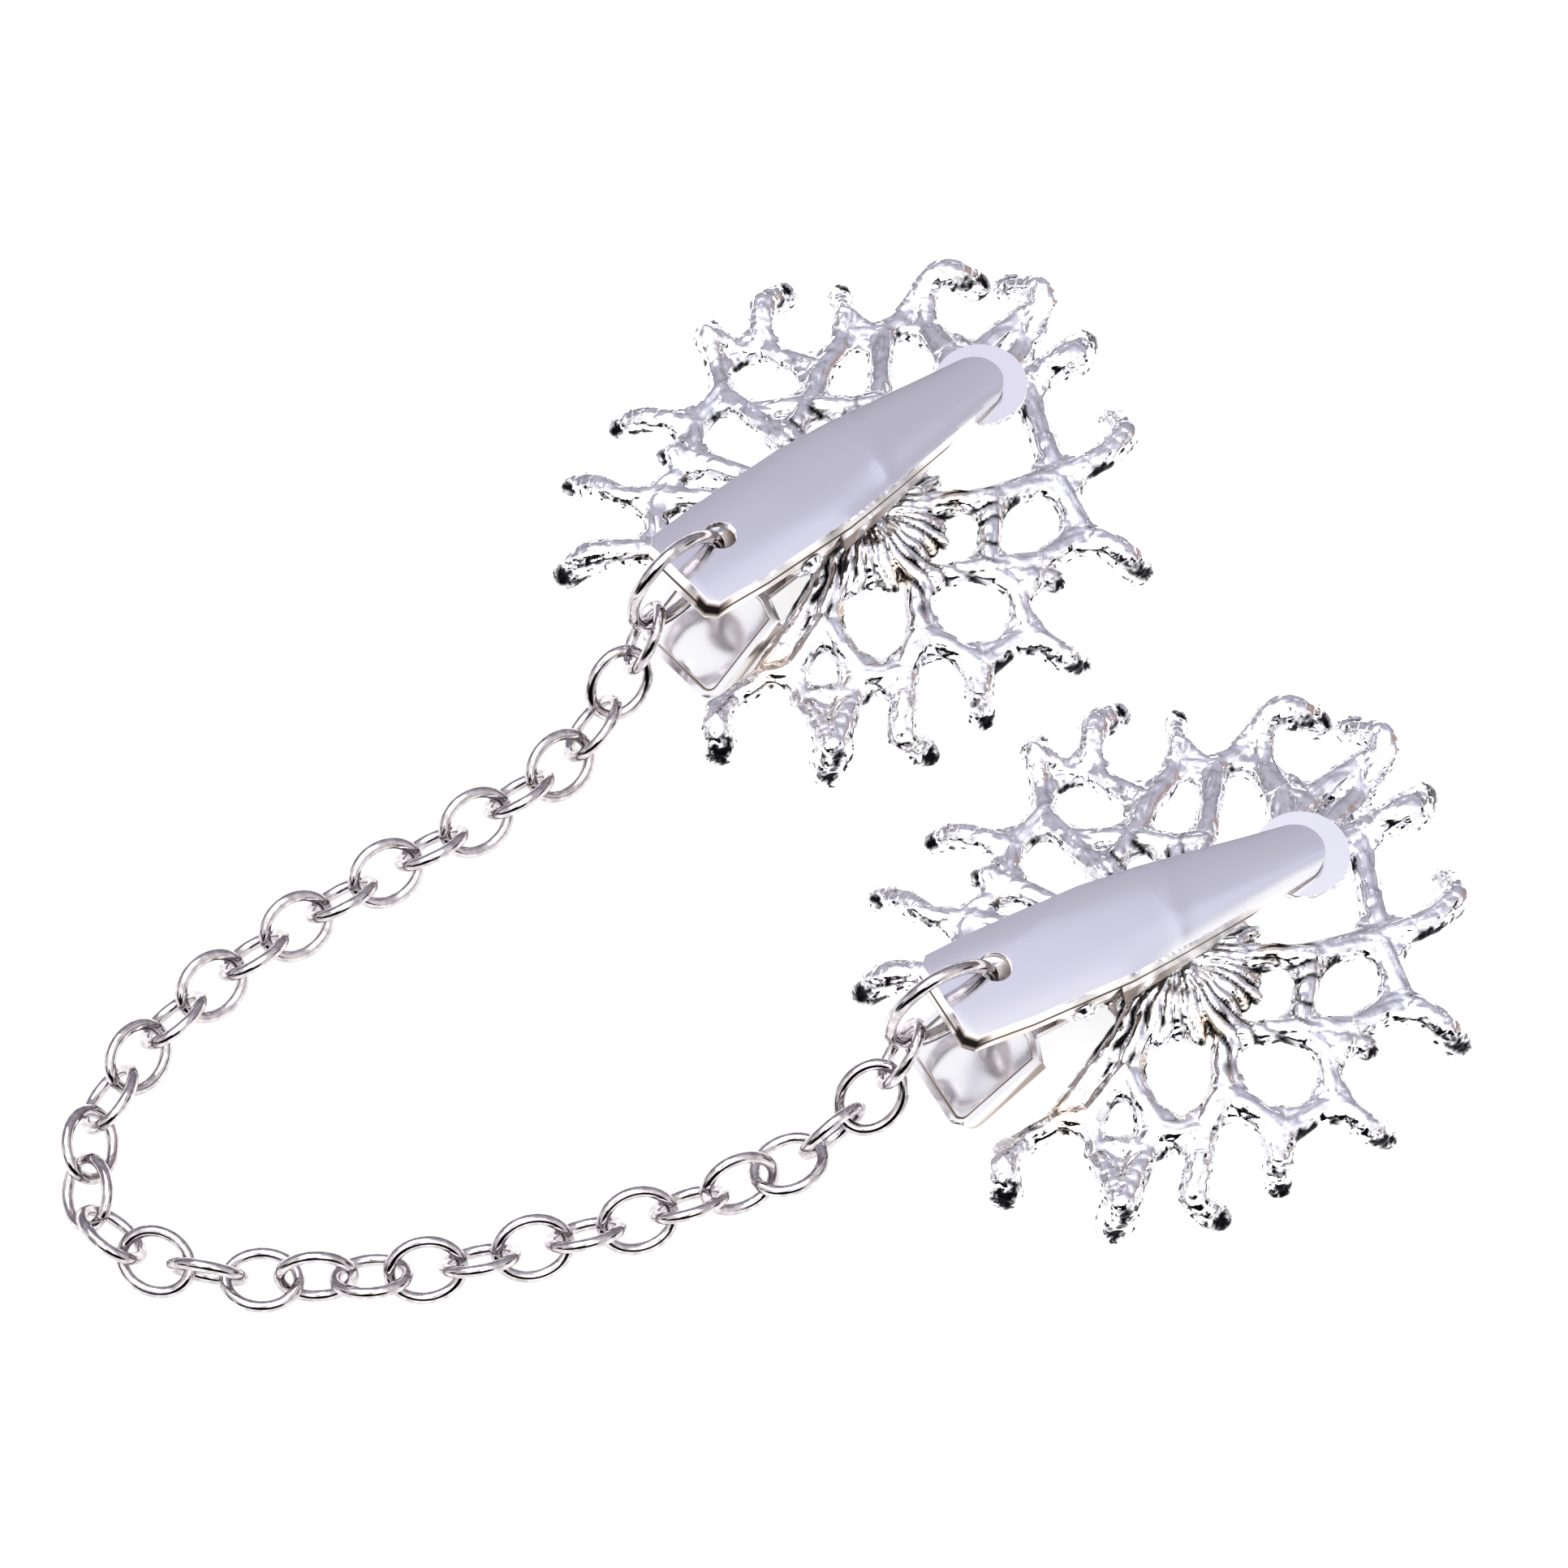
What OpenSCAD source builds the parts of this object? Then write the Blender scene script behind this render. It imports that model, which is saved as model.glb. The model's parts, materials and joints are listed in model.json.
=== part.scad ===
// Cardigan clip: two openwork coral plaques lying on their curled arm tips, a sprung
// lever clip on the back of each, and a cable chain between the levers' rear ends.
// Millimetres, +Z up, z = 0 is the surface it lies on, origin at the middle of its box.

/* [Plaque] */
// Height of the net's middle, along its wire centres, above the surface
hub_height = 6; // [5.6:0.1:6.4]
// Reach at which the domed net has come down to its arm tips
dome_reach = 24; // [23:1:28]
// Height of an arm tip's centre above the surface
tip_height = 1.3; // [1.2:0.1:1.6]
// Radius of the round middle that the clip is soldered to
hub_radius = 7.4; // [6:0.2:8]
// Height that an arm's back arches above a straight line
arm_arch = 1.6; // [0.8:0.2:2.4]
/* [Clip] */
// Length of the lever from its rear edge to its round tip
lever_length = 37.5; // [36:0.5:39]
// Width of the lever at its ears, its broadest place
lever_width = 9.4; // [9:0.2:9.8]
// Radius of the lever's round tip
lever_tip_radius = 2.5; // [2:0.1:3]
// Distance of the hinge pin from the lever's rear edge
pin_from_rear = 11.5; // [11:0.5:12.5]
// Thickness of the stamped sheet
sheet = 0.7; // [0.6:0.1:0.8]
// Slope of the closed lever against the jaw plate
lever_slope = 8.6; // [8.6:0.1:9.4]
// Bend across the lever at its crease
crease_bend = 1.5; // [0:0.5:2]
// Radius of the round pad at the jaw's tip
pad_radius = 4.1; // [3.8:0.1:4.6]
// Height of the jaw plate's top below the hinge pin's axis
jaw_drop = 2.2; // [2.2:0.1:2.6]
// Height of the jaw plate's underside above the surface
jaw_height = 7.2; // [7:0.1:7.6]
// Slope of the thumb tab at the jaw's rear
tab_slope = 36; // [35:1:40]
// Diameter of the hinge pin
pin_diameter = 1.4; // [1.2:0.1:1.6]
// Turn of both levers as drawn, from closed at 0 to open
lever_open = 0; // [0:1:16]
/* [Chain] */
// Outer length of a link
link_length = 7; // [6.9:0.1:7.2]
// Outer breadth of a link
link_breadth = 5.8; // [5.4:0.1:6]
// Diameter of a link's wire
link_wire = 0.9; // [0.8:0.05:0.95]
// Number of links
link_count = 34; // [33:1:34]
// Middle diameter of the jump ring in a lever's rear hole
ring_diameter = 9.8; // [9.6:0.1:10]
// Diameter of the jump ring's wire
ring_wire = 1.2; // [1:0.1:1.3]
// Diameter of the lever's hole for the jump ring
ring_hole = 2.8; // [2.7:0.1:3]

/* [Hidden] */
LINKS = ["link_01", "link_02", "link_03", "link_04", "link_05", "link_06", "link_07",
    "link_08", "link_09", "link_10", "link_11", "link_12", "link_13", "link_14",
    "link_15", "link_16", "link_17", "link_18", "link_19", "link_20", "link_21",
    "link_22", "link_23", "link_24", "link_25", "link_26", "link_27", "link_28",
    "link_29", "link_30", "link_31", "link_32", "link_33", "link_34"];

bright = "#d9d9e3";
steel = "#b9b2b6";
ball_sides = 6;

// Places of the two clips: the net's middle, the net's turn, the pin's middle, the lever's heading
SIDES = [
    [[7.7, 23.2], 6.1, [-0.03, 19.18], 42],
    [[33.8, -20.8], 0, [23.45, -23.7], 29.8],
];
HUB = 0; TURN = 1; PIN = 2; HEADING = 3;

// Joints of the net: angle and reach from its middle, radius of the wire there
JOINTS = [
    [125, 18.9, 1.0], [118, 23.0, 1.1], [109, 21.3, 1.0], [97, 16.5, 1.1], [105, 12.9, 0.9],
    [125, 10.4, 1.0], [125, 15.3, 0.9], [88, 11.4, 1.1], [87, 20.7, 1.0], [79, 21.0, 1.1],
    [72, 24.0, 1.2], [77, 12.4, 0.9], [61, 19.7, 1.4], [41, 21.3, 1.1], [11, 17.7, 1.1],
    [5, 11.4, 1.0], [-7, 19.3, 1.1], [-30, 11.8, 0.9], [-43, 17.5, 1.0], [-60, 17.3, 1.1],
    [-73, 12.3, 1.1], [-83, 15.5, 1.1], [-97, 15.3, 1.1], [-60, 8.0, 1.0], [-114, 10.9, 1.0],
    [-119, 15.8, 0.9], [-112, 18.2, 0.9], [-100, 17.2, 1.1], [-126, 17.5, 0.9], [-132, 21.9, 1.0],
    [163, 18.5, 1.0], [138, 18.2, 1.0], [149, 16.3, 0.9], [56, 21.1, 1.0], [48, 24.3, 1.2],
    [52, 27.0, 1.3], [48, 14.5, 1.0], [-179, 18.0, 1.0], [-33, 14.9, 0.9], [-21, 15.6, 1.1],
    [-104, 19.7, 1.5],
];
ANGLE = 0; REACH = 1; RADIUS = 2;

// Struts of the net, as pairs of joints; MIDDLE is the hub's own place
MIDDLE = -1;
STRUTS = [
    [0, 1], [1, 2], [2, 3], [3, 4], [4, 6], [6, 0], [6, 5], [4, 5], [4, 7], [5, MIDDLE],
    [7, MIDDLE], [3, 8], [8, 9], [9, 11], [7, 11], [11, MIDDLE], [9, 10], [10, 12], [12, 36],
    [36, MIDDLE], [0, 31], [31, 32], [32, MIDDLE], [30, 32], [30, MIDDLE], [12, 33], [33, 35],
    [34, 35], [34, 36], [36, 13], [13, 14], [14, 15], [15, MIDDLE], [14, 16], [16, 39], [17, 15],
    [17, 23], [23, MIDDLE], [23, 20], [20, 19], [17, 38], [38, 18], [18, 19], [20, 21], [21, 22],
    [22, 24], [24, MIDDLE], [24, 25], [25, 26], [26, 40], [27, 22], [25, 28], [28, MIDDLE],
    [28, 29], [37, MIDDLE], [37, 30], [39, 17], [27, 40],
];

// Arms: joint it grows from, angle and reach of its bend and of its curled tip, how far it bows
// to its left, and its radius at the bend and at the tip
ARMS = [
    [1, 118, 24.6, 115, 25.8, 0, 1.1, 1.1], [2, 104, 25.4, 99, 26.7, 0, 1.2, 1.2],
    [8, 88, 23.8, 88, 26.0, 0, 0.8, 1.0], [10, 68, 28.0, 63, 28.8, 0.9, 1.5, 1.3],
    [35, 52, 30.0, 58, 29.7, -1.0, 1.2, 1.1], [13, 38, 26.0, 40, 28.3, 0, 1.7, 1.4],
    [14, 18, 25.4, 24, 25.5, -0.9, 1.2, 1.1], [16, -12, 22.9, -13, 24.3, 0, 1.3, 1.2],
    [38, -25, 16.1, -24, 17.5, 0, 0.9, 0.9], [18, -42, 21.2, -39, 22.3, 0, 1.2, 1.1],
    [19, -65, 19.3, -66, 20.3, 0, 1.2, 1.1], [21, -87, 20.9, -82, 21.8, 0, 1.2, 1.2],
    [40, -103, 22.0, -104, 23.3, 0, 1.7, 1.5], [29, -129, 23.4, -127, 24.3, 0, 1.2, 1.5],
    [37, 180, 24.2, -179, 26.1, 0, 1.4, 1.2], [30, 162, 23.9, 161, 26.1, 0.9, 1.0, 1.1],
    [31, 143, 23.0, 145, 24.5, 0, 1.0, 1.0], [32, 150, 18.2, 150, 18.9, 0, 0.8, 0.8],
];
ARM_ROOT = 0; BEND_ANGLE = 1; BEND_REACH = 2; TIP_ANGLE = 3; TIP_REACH = 4; BOW = 5;
BEND_RADIUS = 6; TIP_RADIUS = 7;
// An arm whose tip reaches less far than this is a stub that stays up in the net
stub_reach = 19;

// Soldered and resting faces stand this far apart
seat_gap = 0.1;
// Play of the lever's bores on the pin, and of the jaw's on it
lever_play = 0.05;
jaw_play = 0.02;

// The clip's own frame has its origin on the pin's axis, +X to the tip and +Z up
pin_height = jaw_height + sheet + jaw_drop;
lever_reach = lever_length - pin_from_rear;
crease_x = lever_reach * 0.38;
lever_lift = (lever_reach * sin(lever_slope) - jaw_drop + seat_gap) / cos(lever_slope)
    + (lever_reach - crease_x) * tan(crease_bend);
lever_half = lever_width / 2;
tip_x = lever_reach - lever_tip_radius;

// Lever: radius of its ears round the pin, and depth of its rim at three places and at a notch
lever_ear = 1.6;
rear_rim = 1.7;
front_rim = 4.0;
middle_rim = 2.4;
notch_rim = 0.8;
// Places along the lever: rear foot of its ears, start and bottom of the notch, full front rim
ear_foot = -2.6;
notch_start = 2.3;
notch_x = 3.4;
front_rim_x = 4.4;

// Jaw plate: half width between the lever's ears, ears of its own, neck and centre of the pad
jaw_half = lever_half - sheet - 0.3;
jaw_ear = 1.35;
neck_half = jaw_half * 0.62;
pad_x = lever_reach - 1.7;

// Thumb tab: half width, how far it stands over to one side, start behind the pin, depth of its
// rim, radius of its corners and clearance off the surface
tab_half = 4.9;
tab_shift = 0.9;
tab_start = -4.2;
tab_rim = 1.2;
tab_corner = 1.5;
tab_clearance = 0.35;
tab_length = (jaw_height - tab_clearance - tab_rim * cos(tab_slope)) / sin(tab_slope);

// Height of the lever sheet's underside above the pin, in the lever's own frame
function under(x) = lever_lift - max(0, x - crease_x) * tan(crease_bend);
function arc(centre, r, from, to, steps) =
    [for (k = [0 : steps]) centre + r * [cos(from + (to - from) * k / steps),
        sin(from + (to - from) * k / steps)]];
function mirrored(half) = concat(half, [for (k = [len(half) - 1 : -1 : 0]) [half[k].x, -half[k].y]]);

// Lever's plan, drawn in by a wall: it spreads to its ears, then tapers to the round tip
module lever_plan(wall) {
    corner = 0.8;
    rear_half = lever_half * 0.93;
    polygon(mirrored(concat(
        [[wall - pin_from_rear, rear_half - corner - wall], [corner - pin_from_rear, rear_half - wall],
         [ear_foot * 2, lever_half - wall], [crease_x * 0.45, lever_half - wall],
         [crease_x, lever_half * 0.89 - wall], [tip_x * 0.72, lever_half * 0.71 - wall]],
        arc([tip_x, 0], lever_tip_radius - wall, 78, 0, 8))));
}

// Lever's side: sheet, rear lip, rims that deepen to the hinge ears and run out at the tip
module lever_side() {
    top = [[-pin_from_rear, lever_lift + sheet], [crease_x, lever_lift + sheet],
        [lever_reach, under(lever_reach) + sheet]];
    bottom = [[lever_reach, under(lever_reach)], [lever_reach * 0.76, under(lever_reach * 0.76)],
        [crease_x * 1.4, under(crease_x * 1.4) - middle_rim], [front_rim_x, lever_lift - front_rim],
        [notch_x, lever_lift - notch_rim], [notch_start, lever_lift - middle_rim], [lever_ear, -0.4],
        [lever_ear * 0.7, -lever_ear * 0.7], [0, -lever_ear], [-lever_ear * 0.7, -lever_ear * 0.7],
        [-lever_ear, -0.4], [ear_foot, lever_lift - rear_rim], [-pin_from_rear, lever_lift - rear_rim]];
    rotate([90, 0, 0]) linear_extrude(lever_width + 2, center = true) polygon(concat(top, bottom));
}

// Everything below the lever's sheet
module below_sheet() {
    rotate([90, 0, 0]) linear_extrude(lever_width + 2, center = true)
        polygon([[-pin_from_rear - 1, lever_lift], [crease_x, lever_lift],
            [lever_reach + 1, under(lever_reach + 1)], [lever_reach + 1, -6], [-pin_from_rear - 1, -6]]);
}

module cross_bore(d, length) rotate([90, 0, 0]) cylinder(h = length, d = d, center = true, $fn = 32);

// Puts a clip's pieces in their place on the plaque
module on_clip(side) {
    translate(concat(side[PIN], [pin_height])) rotate(side[HEADING]) children();
}

// Lever, closed: polished sheet with a hole for the jump ring at its rear
module lever(side) {
    color(bright) on_clip(side) rotate([0, lever_slope - lever_open, 0]) difference() {
        intersection() {
            translate([0, 0, -8]) linear_extrude(16) lever_plan(0);
            lever_side();
        }
        intersection() {
            translate([0, 0, -8]) linear_extrude(16) lever_plan(sheet);
            below_sheet();
        }
        cross_bore(pin_diameter + 2 * lever_play, lever_width + 2);
        translate([hole_x, hole_y, 0]) cylinder(h = 8, d = ring_hole, $fn = 32);
    }
}

// Lower jaw: plate with a round pad, two ears for the pin and the thumb tab bent down behind
module lower_jaw(side) {
    color(bright) on_clip(side) difference() {
        union() {
            translate([0, 0, -jaw_drop - sheet]) linear_extrude(sheet) union() {
                polygon(mirrored([[tab_start, jaw_half], [4, jaw_half], [pad_x - 5, neck_half],
                    [pad_x - 2, neck_half]]));
                translate([pad_x, 0]) circle(pad_radius, $fn = 48);
            }
            for (y = [-jaw_half, jaw_half - sheet]) translate([0, y + sheet, 0]) rotate([90, 0, 0])
                linear_extrude(sheet) union() {
                    polygon([[-2.2, -jaw_drop - sheet / 2], [2.8, -jaw_drop - sheet / 2],
                        [jaw_ear, 0.3], [-jaw_ear, 0.3]]);
                    circle(jaw_ear, $fn = 32);
                }
            thumb_tab();
        }
        cross_bore(pin_diameter + 2 * jaw_play, lever_width);
    }
}

// Thumb tab: a plate sloping down behind, its rim turned down to just above the surface
module thumb_tab() {
    rim_start = -0.9;
    translate([tab_start, 0, -jaw_drop - sheet]) rotate([0, -tab_slope, 0]) {
        linear_extrude(sheet) tab_plan(0);
        translate([0, 0, -tab_rim]) linear_extrude(tab_rim + sheet / 2) difference() {
            tab_plan(0);
            tab_plan(sheet);
            translate([rim_start, -lever_width]) square([lever_width, 2 * lever_width]);
        }
    }
}

// Thumb tab's plan, drawn in by a wall
module tab_plan(wall) {
    rear = tab_corner - tab_length;
    near = tab_half + tab_shift;
    far = tab_half - tab_shift;
    root = 0.5;
    shoulder = -0.4;
    polygon(concat(
        [[root, wall - jaw_half], [shoulder, wall - near]],
        arc([rear, tab_corner - near], tab_corner - wall, 270, 180, 5),
        arc([rear, far - tab_corner], tab_corner - wall, 180, 90, 5),
        [[shoulder, far - wall], [root, jaw_half - wall]]));
}

// Hinge pin with a domed head at each end
module hinge_pin(side) {
    head = 0.5;
    reach = lever_half + seat_gap;
    color(steel) on_clip(side) union() {
        cross_bore(pin_diameter, 2 * reach);
        for (s = [-1, 1]) translate([0, s * reach, 0]) rotate([-s * 90, 0, 0])
            cylinder(h = head, r1 = pin_diameter * 0.8, r2 = pin_diameter * 0.45, $fn = 32);
    }
}

// Leaf spring: lies on the jaw plate, turns back at its front and presses up the lever's rear
module spring(side) {
    leaf = 0.3;
    bend = 0.7;
    front = 5.2;
    low = leaf + seat_gap - jaw_drop;
    path = concat([[0.8, low], [front, low]], arc([front, low + bend], bend, -60, 80, 6),
        [[0, 1.05], lever_point(-4.3, lever_lift - leaf - seat_gap / 2)]);
    color(steel) on_clip(side) rotate([90, 0, 0]) linear_extrude(jaw_half, center = true)
        polygon(concat(path, [for (k = [len(path) - 1 : -1 : 0]) path[k] + leaf_side(path, k) * leaf]));
}

// Outward direction, square to a strip's path at one of its points
function leaf_side(path, k) = let (
    a = path[max(0, k - 1)], b = path[min(len(path) - 1, k + 1)], d = (b - a) / norm(b - a))
    [d.y, -d.x];

// Jump ring: its wire stands in the lever's hole, and the first link hangs on its far side
hole_x = 5.4 - pin_from_rear;
hole_y = 0.7;
ring_rest = 12;
ring_shift = -0.32;
ring_hang = 235;
ring_play = 0.35;
function lever_point(x, z) = [x * cos(lever_slope) + z * sin(lever_slope),
    z * cos(lever_slope) - x * sin(lever_slope)];
function turned(p, a) = [p.x * cos(a) - p.y * sin(a), p.x * sin(a) + p.y * cos(a)];
function ring_foot(side) = let (h = lever_point(hole_x, lever_lift + sheet / 2))
    concat(side[PIN] + turned([h.x + ring_shift, hole_y], side[HEADING]), [pin_height + h.y]);
// A point in the jump ring's plane, at an angle and a reach from its middle
function ring_point(side, a, r) = let (
    across = r * cos(a) - ring_diameter / 2 * cos(ring_rest),
    up = r * sin(a) - ring_diameter / 2 * sin(ring_rest))
    ring_foot(side) + concat(turned([across, 0], side[HEADING]), [up]);

// A closed loop of wire in the plan: half sizes of its middle line, wire diameter and steps
module wire_loop(a, b, wire, steps) {
    sides = 6;
    r = wire / 2 * 1.05;
    points = [for (i = [0 : steps - 1], j = [0 : sides - 1]) let (
        t = i * 360 / steps, s = j * 360 / sides,
        out = [b * cos(t), a * sin(t), 0] / norm([b * cos(t), a * sin(t)]))
        [a * cos(t), b * sin(t), 0] + r * (cos(s) * out + [0, 0, sin(s)])];
    faces = [for (i = [0 : steps - 1], j = [0 : sides - 1]) let (
        n = (i + 1) % steps, m = (j + 1) % sides)
        [i * sides + j, i * sides + m, n * sides + m, n * sides + j]];
    polyhedron(points, faces, convexity = 4);
}

module jump_ring(side) {
    color(steel) translate(ring_point(side, 0, 0)) rotate(side[HEADING]) rotate([90, 0, 0])
        wire_loop(ring_diameter / 2, ring_diameter / 2, ring_wire, 16);
}

// Chain: links lie on their sides, each turned a quarter from the last
link_a = (link_length - link_wire) / 2;
link_b = (link_breadth - link_wire) / 2;
link_r = link_wire / 2 * 1.05;
lean = 45;
hang = ring_diameter / 2 + link_a - ring_wire / 2 - link_wire / 2 - ring_play;
// Middle of the chain's route, link centres, with the height that it is lifted off the surface
ROUTE = [
    [-13.2, 7.4, 2.4], [-14.8, 5.2, 1.0], [-16.6, 2.3, 0], [-19.1, -0.4, 0], [-26.1, -5.8, 0],
    [-33.9, -10.9, 0], [-41.5, -16.2, 0], [-48.1, -21.8, 0], [-53.8, -28.5, 0], [-57.1, -36.0, 0],
    [-56.5, -42.6, 0], [-51.5, -46.9, 0], [-44.5, -48.6, 0], [-35.5, -48.6, 0], [-26.5, -47.4, 0],
    [-17.5, -45.1, 0], [-8.5, -42.3, 0], [0.1, -38.7, 0], [3.9, -36.2, 0.2], [6.3, -34.4, 1.0],
    [8.3, -32.7, 2.4],
];
lie = link_b * sin(lean) + link_r + 0.02;
route = concat([ring_point(SIDES[0], ring_hang, hang)], [for (p = ROUTE) p + [0, 0, lie]],
    [ring_point(SIDES[1], ring_hang, hang)]);
route_steps = 8;
function spline(a, b, c, d, t) = 0.5 * (2 * b + (c - a) * t + (2 * a - 5 * b + 4 * c - d) * t * t
    + (3 * b - a - 3 * c + d) * t * t * t);
fine = [for (i = [0 : len(route) - 2], k = [0 : route_steps - 1])
    spline(route[max(0, i - 1)], route[i], route[i + 1], route[min(len(route) - 1, i + 2)],
        k / route_steps)];
line = concat(fine, [route[len(route) - 1]]);
run = [for (i = 0, s = 0; i < len(line);
    s = s + (i + 1 < len(line) ? norm(line[i + 1] - line[i]) : 0), i = i + 1) s];
link_pitch = run[len(run) - 1] / (link_count - 1);
function at(s) = [for (c = [0 : 2]) lookup(s, [for (i = [0 : len(run) - 1]) [run[i], line[i][c]]])];
function unit(v) = v / norm(v);

// Lean of the chain at a link: over to one side, to the other along the front, and back
function twist(n) = lookup(n, [[1, lean], [18, lean], [24, -lean], [29, -lean], [link_count, lean]]);
function roll(n) = (n % 2 == 1 ? 0 : 90) + twist(n);

module link(n) {
    s = (n - 1) * link_pitch;
    before = n == 1 ? ring_point(SIDES[0], 0, 0) : at(s - link_pitch);
    after = n == link_count ? ring_point(SIDES[1], 0, 0) : at(s + link_pitch);
    along = unit(after - before);
    left = unit(cross([0, 0, 1], along));
    over = cross(along, left);
    wide = cos(roll(n)) * left + sin(roll(n)) * over;
    normal = cross(along, wide);
    lift = max(0, link_b * (abs(sin(roll(n))) - sin(lean))) * (at(s).z < lie + 0.5 ? 1 : 0);
    centre = at(s) + [0, 0, lift];
    color(steel) multmatrix([
        [along.x, wide.x, normal.x, centre.x],
        [along.y, wide.y, normal.y, centre.y],
        [along.z, wide.z, normal.z, centre.z]])
        wire_loop(link_a, link_b, link_wire, 12);
}

// A point at an angle and a reach in the plan
function polar(a, r) = [r * cos(a), r * sin(a)];
// Height of the net's wire centres at a reach from its middle
function dome(r) = tip_height + (hub_height - tip_height) * max(0, 1 - pow(r / dome_reach, 2));
function joint_at(i) = i == MIDDLE ? [0, 0, hub_height]
    : concat(polar(JOINTS[i][ANGLE], JOINTS[i][REACH]), [dome(JOINTS[i][REACH])]);
function joint_radius(i) = i == MIDDLE ? 1.1 : JOINTS[i][RADIUS];

module ball(p, r) translate(p) sphere(r, $fn = ball_sides);
module rod(p, r, q, s) hull() { ball(p, r); ball(q, s); }

// One arm: it leaves its joint, arches outwards, bends and comes down on a round tip
module arm(row) {
    stub = row[TIP_REACH] < stub_reach;
    root = joint_at(row[ARM_ROOT]);
    tip_z = stub ? dome(row[TIP_REACH]) : row[TIP_RADIUS] * cos(180 / ball_sides) + 0.01;
    tip = concat(polar(row[TIP_ANGLE], row[TIP_REACH]), [tip_z]);
    bend = concat(polar(row[BEND_ANGLE], row[BEND_REACH]), [tip_z + (stub ? 0.3 : arm_arch)]);
    out = unit(bend - root);
    elbow = (root + bend) / 2 + [-out.y, out.x, 0] * row[BOW] + [0, 0, arm_arch / 4];
    waist = (joint_radius(row[ARM_ROOT]) + row[BEND_RADIUS]) / 2;
    rod(root, joint_radius(row[ARM_ROOT]), elbow, waist);
    rod(elbow, waist, bend, row[BEND_RADIUS]);
    rod(bend, row[BEND_RADIUS], tip, row[TIP_RADIUS]);
}

// The raised middle with its radial ribs
module hub() {
    rib_count = 14;
    rib_radius = 0.7;
    rib_end = 0.6;
    thick = 1.6;
    translate([0, 0, hub_height - 1])
        cylinder(h = thick, r1 = hub_radius, r2 = hub_radius * 0.72, $fn = 2 * rib_count);
    for (k = [0 : rib_count - 1])
        rod(concat(polar(k * 360 / rib_count, hub_radius * 0.5), [hub_height + 0.3]), rib_radius,
            concat(polar(k * 360 / rib_count, hub_radius * 1.05), [dome(hub_radius) - 0.2]), rib_end);
}

// Openwork plaque, cut flat under the jaw plate that is fixed on it
module plaque(side) {
    color(bright) difference() {
        translate(concat(side[HUB], [0])) rotate(side[TURN]) {
            hub();
            for (s = STRUTS) rod(joint_at(s[0]), joint_radius(s[0]), joint_at(s[1]), joint_radius(s[1]));
            for (row = ARMS) arm(row);
        }
        translate([0, 0, jaw_height - seat_gap]) linear_extrude(10) square(200, center = true);
    }
}

plaque(SIDES[0]);  // plaque_a
lower_jaw(SIDES[0]);  // lower_jaw_a
lever(SIDES[0]);  // lever_a
hinge_pin(SIDES[0]);  // hinge_pin_a
spring(SIDES[0]);  // spring_a
jump_ring(SIDES[0]);  // jump_ring_a
plaque(SIDES[1]);  // plaque_b
lower_jaw(SIDES[1]);  // lower_jaw_b
lever(SIDES[1]);  // lever_b
hinge_pin(SIDES[1]);  // hinge_pin_b
spring(SIDES[1]);  // spring_b
jump_ring(SIDES[1]);  // jump_ring_b
for (n = [1 : link_count]) link(n);
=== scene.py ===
# Cardigan clip: the finish of two cast coral plaques, their sprung lever clips and a cable chain.
# Metres in the scene; the pieces are modelled in millimetres and scaled when they are finished.
import json
import math

import bmesh
import bpy
import numpy as np
from mathutils import Matrix, Vector, noise
from mathutils.kdtree import KDTree


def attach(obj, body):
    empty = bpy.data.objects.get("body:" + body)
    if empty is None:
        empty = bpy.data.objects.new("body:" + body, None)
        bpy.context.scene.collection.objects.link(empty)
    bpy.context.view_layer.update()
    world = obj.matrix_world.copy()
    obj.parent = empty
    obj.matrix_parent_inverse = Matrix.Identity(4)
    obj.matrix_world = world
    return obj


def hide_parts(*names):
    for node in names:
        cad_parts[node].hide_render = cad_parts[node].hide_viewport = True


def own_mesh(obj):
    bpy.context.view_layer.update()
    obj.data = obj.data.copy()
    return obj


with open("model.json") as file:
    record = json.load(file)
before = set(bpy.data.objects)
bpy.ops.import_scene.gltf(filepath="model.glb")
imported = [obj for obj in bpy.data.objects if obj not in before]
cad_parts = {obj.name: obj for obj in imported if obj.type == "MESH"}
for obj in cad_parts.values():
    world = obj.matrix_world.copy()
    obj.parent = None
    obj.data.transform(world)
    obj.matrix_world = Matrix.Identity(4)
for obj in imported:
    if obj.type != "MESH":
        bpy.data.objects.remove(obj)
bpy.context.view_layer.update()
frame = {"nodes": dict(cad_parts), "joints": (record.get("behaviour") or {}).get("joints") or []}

MM = 0.001
SIDES = ("a", "b")
LINKS = sorted(name for name in frame["nodes"] if name.startswith("link_"))
HINGES = {joint["child"]: joint for joint in frame["joints"]}

# All sizes below are in millimetres and degrees, as in the part's source.

# Lever, in its clip's own frame: origin on the pin, +X to the tip, near side -Y
LEVER_SLOPE = 8.6
LEVER_HALF = 4.7
LEVER_REAR_HALF = 4.37
SHEET_TOP = 2.93
EARS_END = 3
CREASE_X = 9.88
CREASE_BEND = 1.5
PIN_FROM_REAR = 11.5
HOLE_X = -6.1
HOLE_Y = 0.7
# Where its faces are sliced, so that they can bend and change their painted shade and finish: across,
# along, and by depth below its sheet's top
LEVER_SLICES_Y = (-3.9, -3.5, -3.1, -2.65, -2.2, -1.65, -1.1, 0, 1.1, 2.2, 3.1, 3.9)
LEVER_SLICES_X = (-10.6, -9, -6, -3, 0, 2, 4, 5.4, 6.5, 7.6, 8.6, 9.2, 9.8, 10.4, 11, 11.6, 12.2,
                  12.8, 14, 15.5, 17, 18.5, 20, 22)
LEVER_SLICE_DEPTHS = (0.9, 1.3, 1.42, 1.5, 1.58, 1.7, 2.4, 2.48, 2.8, 3.4)
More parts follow.
